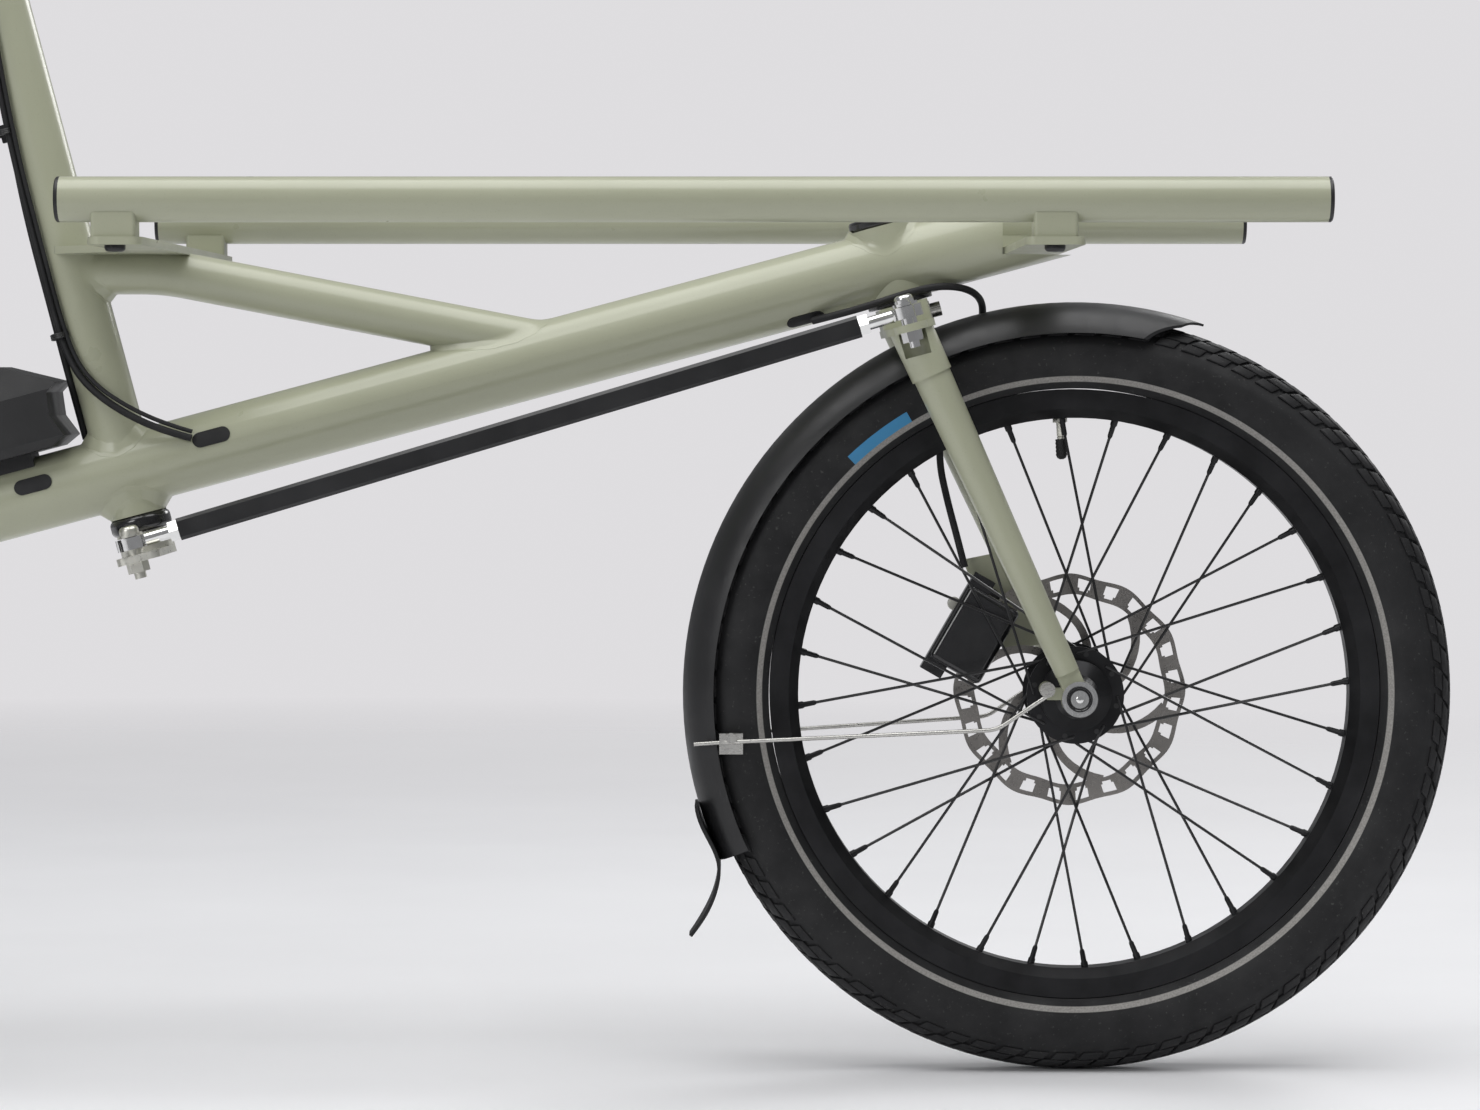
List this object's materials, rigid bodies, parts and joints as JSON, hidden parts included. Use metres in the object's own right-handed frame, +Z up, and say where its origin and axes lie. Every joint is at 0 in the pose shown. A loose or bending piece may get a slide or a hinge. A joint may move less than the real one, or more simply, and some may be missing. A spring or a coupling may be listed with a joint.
{
  "type": "cargo bicycle",
  "caption": "Cargo bicycle with a long sloping main tube, a flat tube platform over a small front wheel, and link steering.",
  "frame": {"origin": "on the ground, midway between the foremost and rearmost points of the tyres, in the bicycle's centre plane", "axes": "+X forwards along the bicycle, +Y to the rider's left, +Z up"},
  "size_m": [2.1091, 0.6666, 1.0645],
  "materials": {
    "frame_paint": "satin grey-green paint",
    "black_anodised": "satin black anodised",
    "black_plastic": "fine matt black",
    "black_rubber": "matt black",
    "tyre": "black with a pale reflective band",
    "spoke_black": "black",
    "bright_steel": "bright zinc and polished steel",
    "saddle_cover": "black grained cover"
  },
  "bodies": {
    "frame": {"main_tube": "frame_paint", "column_tube": "frame_paint", "brace_tube": "frame_paint", "top_tube": "frame_paint", "seat_tube": "frame_paint", "motor": "black_plastic", "chainstays": "frame_paint", "seatstays": "frame_paint", "outrigger_rear": "frame_paint", "outrigger_front": "frame_paint", "rail_right": "frame_paint", "rail_left": "frame_paint", "rail_end_caps": "black_plastic", "rack_bolts": "bright_steel", "fork_head_tube": "frame_paint", "bearing_caps": "black_anodised", "battery": "black_plastic", "cable_fittings": "black_rubber", "upper_hoses": "black_rubber", "rear_hose": "black_rubber", "rear_fender": "black_plastic", "rear_caliper": "black_anodised", "rear_axle": "bright_steel", "chain": "bright_steel"},
    "fork": {"fork": "frame_paint", "fork_stud": "bright_steel", "front_fender": "black_plastic", "mud_flap": "black_rubber", "front_stays": "bright_steel", "front_caliper": "black_anodised", "lower_hose": "black_rubber", "front_axle": "bright_steel"},
    "front_wheel": {"front_tyre": "tyre", "front_rim": "black_anodised", "front_spokes": "spoke_black", "front_hub": "black_anodised", "front_rotor": "bright_steel"},
    "steering": {"column_shaft": "bright_steel", "column_arm": "bright_steel", "stem": "black_anodised", "handlebar": "black_anodised", "grips": "black_rubber", "brake_clamps": "black_anodised"},
    "lever_right": {"brake_lever_right": "black_anodised"},
    "lever_left": {"brake_lever_left": "black_anodised"},
    "drag_link": {"link_bar": "black_anodised", "link_rod_ends": "bright_steel"},
    "crank": {"crankset": "black_anodised"},
    "pedal_right": {"pedal_right": "black_plastic"},
    "pedal_left": {"pedal_left": "black_plastic"},
    "rear_cog": {"rear_sprocket": "bright_steel"},
    "rear_wheel": {"rear_tyre": "tyre", "rear_rim": "black_anodised", "rear_spokes": "spoke_black", "rear_hub": "black_anodised", "rear_rotor": "bright_steel"},
    "stand": {"stand": "black_anodised"},
    "seat": {"seatpost": "black_anodised", "saddle": "saddle_cover"}
  },
  "joints": [
    {"name": "column_steer", "type": "hinge", "parent": "frame", "child": "steering", "pos_m": [0.16578, 0, 0.36157], "axis": [-0.2554, 0, 0.9668], "range_deg": [-45, 45], "deforming": ["upper_hoses"]},
    {"name": "fork_steer", "type": "hinge", "parent": "frame", "child": "fork", "pos_m": [0.68146, 0, 0.5153], "axis": [-0.2554, 0, 0.9668], "range_deg": [-45, 45], "deforming": ["lower_hose"]},
    {"name": "link_swing", "type": "hinge", "parent": "steering", "child": "drag_link", "pos_m": [0.16578, -0.07, 0.36157], "axis": [-0.2554, 0, 0.9668], "range_deg": [-45, 45]},
    {"name": "front_wheel_spin", "type": "hinge", "parent": "fork", "child": "front_wheel", "pos_m": [0.79759, 0, 0.257], "axis": [0, 1, 0], "continuous": true},
    {"name": "rear_wheel_spin", "type": "hinge", "parent": "frame", "child": "rear_wheel", "pos_m": [-0.72059, 0, 0.334], "axis": [0, 1, 0], "continuous": true},
    {"name": "crank_spin", "type": "hinge", "parent": "frame", "child": "crank", "pos_m": [-0.27745, 0, 0.29336], "axis": [0, 1, 0], "continuous": true},
    {"name": "cog_spin", "type": "hinge", "parent": "frame", "child": "rear_cog", "pos_m": [-0.72059, 0, 0.334], "axis": [0, 1, 0], "continuous": true},
    {"name": "pedal_right_spin", "type": "hinge", "parent": "crank", "child": "pedal_right", "pos_m": [-0.10745, -0.132, 0.29336], "axis": [0, 1, 0], "continuous": true},
    {"name": "pedal_left_spin", "type": "hinge", "parent": "crank", "child": "pedal_left", "pos_m": [-0.44745, 0.132, 0.29336], "axis": [0, 1, 0], "continuous": true},
    {"name": "lever_right_pull", "type": "hinge", "parent": "steering", "child": "lever_right", "pos_m": [0.04128, -0.21746, 1.03119], "axis": [-0.3661, 0.1672, -0.9154], "range_deg": [0, 10], "stiffness_Nm_per_rad": 3, "springref_deg": -8.59},
    {"name": "lever_left_pull", "type": "hinge", "parent": "steering", "child": "lever_left", "pos_m": [0.04128, 0.21746, 1.03119], "axis": [0.3661, 0.1672, 0.9154], "range_deg": [0, 10], "stiffness_Nm_per_rad": 3, "springref_deg": -8.59},
    {"name": "stand_fold", "type": "hinge", "parent": "frame", "child": "stand", "pos_m": [-0.37545, 0, 0.262], "axis": [0, 1, 0], "range_deg": [0, 78]},
    {"name": "seat_height", "type": "slide", "parent": "frame", "child": "seat", "axis": [-0.309, 0, 0.9511], "range_m": [-0.06, 0.05]}
  ],
  "couplings": [
    {"joint": "column_steer", "follows": "fork_steer", "ratio": 1},
    {"joint": "link_swing", "follows": "fork_steer", "ratio": -1},
    {"joint": "cog_spin", "follows": "crank_spin", "ratio": 2.4444}
  ]
}
